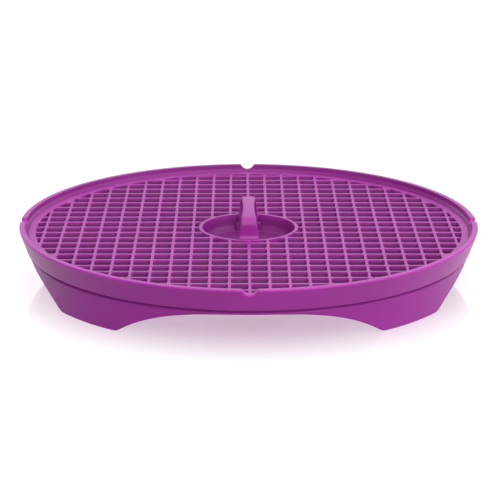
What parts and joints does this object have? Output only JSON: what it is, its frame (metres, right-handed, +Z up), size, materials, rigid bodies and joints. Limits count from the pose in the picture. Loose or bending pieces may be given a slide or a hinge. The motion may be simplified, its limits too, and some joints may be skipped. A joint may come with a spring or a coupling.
{
  "type": "food dehydrator",
  "caption": "Round microwave food dehydrator: a lattice tray with a notched rim, centre finger well and bridge handle, lifting off an arched stand ring.",
  "frame": {"origin": "centre of the tray, on the surface that the feet stand on", "axes": "+Z up, -Y to the front; the handle runs front to back along Y"},
  "size_m": [0.2474, 0.2474, 0.0383],
  "materials": {
    "stand": "satin moulded polypropylene, magenta violet",
    "rim": "satin moulded polypropylene, magenta violet",
    "lattice": "satin moulded polypropylene, magenta violet",
    "well": "satin moulded polypropylene, magenta violet",
    "handle": "satin moulded polypropylene, magenta violet"
  },
  "bodies": {
    "stand": {"stand_ring": "stand"},
    "tray": {"rim_ring": "rim", "lattice_plate": "lattice", "finger_well": "well", "lift_handle": "handle"}
  },
  "joints": [
    {"name": "tray_lift", "type": "slide", "parent": "stand", "child": "tray", "axis": [0, 0, 1], "range_m": [0, 0.06]}
  ]
}
